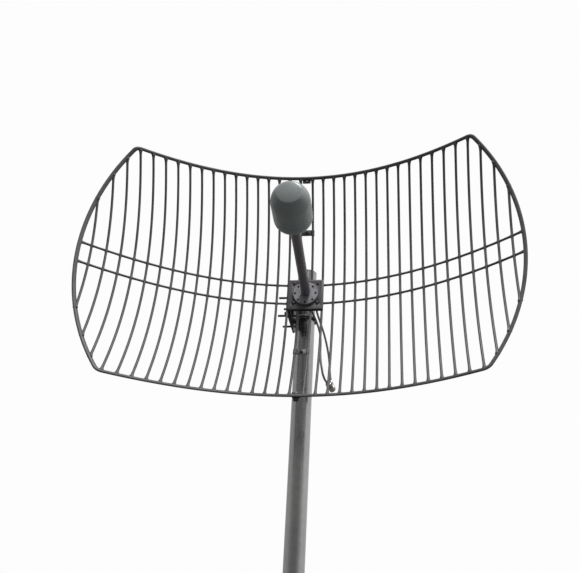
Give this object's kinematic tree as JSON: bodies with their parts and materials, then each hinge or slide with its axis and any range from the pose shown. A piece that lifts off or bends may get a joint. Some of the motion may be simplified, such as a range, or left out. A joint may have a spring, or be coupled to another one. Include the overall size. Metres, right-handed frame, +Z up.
{
  "type": "grid parabolic antenna on a stub mast",
  "caption": "Wire-grid parabolic dish in two bolted halves with a feed on an arm, tilted on a bracket that U-bolts clamp to a short round mast.",
  "frame": {"origin": "centre of the underside of the mast foot plate, on the mast axis", "axes": "+Z up along the mast; the antenna looks along -Y; +X is to the right as seen from the front"},
  "size_m": [1.005, 0.6034, 1.6978],
  "materials": {
    "grid_paint": "grey powder coat on a cast grid, semi-matt",
    "zinc_plate": "zinc plated, dull",
    "pole_steel": "smooth bright steel tube",
    "dark_steel": "dark coated steel, slightly brown",
    "arm_paint": "dark paint on a tube, semi-gloss",
    "radome_plastic": "moulded grey plastic with a soft gloss",
    "black_plastic": "black moulded plastic",
    "coax_jacket": "grey cable jacket",
    "nickel": "nickel plated, turned"
  },
  "bodies": {
    "mast": {"mast_pole": "pole_steel", "mast_foot_plate": "pole_steel", "mast_cap": "black_plastic"},
    "clamp": {"clamp_plate": "dark_steel", "saddle_upper": "dark_steel", "saddle_lower": "dark_steel", "u_bolt_upper": "zinc_plate", "u_bolt_lower": "zinc_plate", "nut_upper_front": "zinc_plate", "nut_upper_rear": "zinc_plate", "nut_lower_front": "zinc_plate", "nut_lower_rear": "zinc_plate", "pivot_bolt": "zinc_plate", "pivot_nut": "zinc_plate", "lock_bolt": "zinc_plate", "lock_nut": "zinc_plate"},
    "antenna": {"grid_left": "grid_paint", "grid_right": "grid_paint", "hub_plate": "grid_paint", "rail_tie_top": "grid_paint", "rail_tie_bottom": "grid_paint", "wire_tie_upper": "grid_paint", "wire_tie_lower": "grid_paint", "feed_flange": "zinc_plate", "tilt_bracket": "dark_steel", "rail_tie_bolt_top": "dark_steel", "rail_tie_bolt_bottom": "dark_steel", "wire_tie_bolt_upper": "dark_steel", "wire_tie_bolt_lower": "dark_steel", "hub_bolt_lower_left": "dark_steel", "hub_bolt_lower_right": "dark_steel", "hub_bolt_upper_left": "dark_steel", "hub_bolt_upper_right": "dark_steel", "feed_arm": "arm_paint", "radome": "radome_plastic", "radome_base": "radome_plastic", "lead_clip": "black_plastic", "coax_pigtail": "coax_jacket", "coax_lead": "coax_jacket", "feed_gland": "nickel", "pigtail_plug": "nickel", "lead_elbow": "nickel", "lead_plug": "nickel"}
  },
  "joints": [
    {"name": "azimuth", "type": "hinge", "parent": "mast", "child": "clamp", "pos_m": [0, 0, 1.399], "axis": [0, 0, 1], "continuous": true},
    {"name": "elevation", "type": "hinge", "parent": "clamp", "child": "antenna", "pos_m": [-0.03, -0.0645, 1.363], "axis": [-1, 0, 0], "range_deg": [0, 25]}
  ]
}
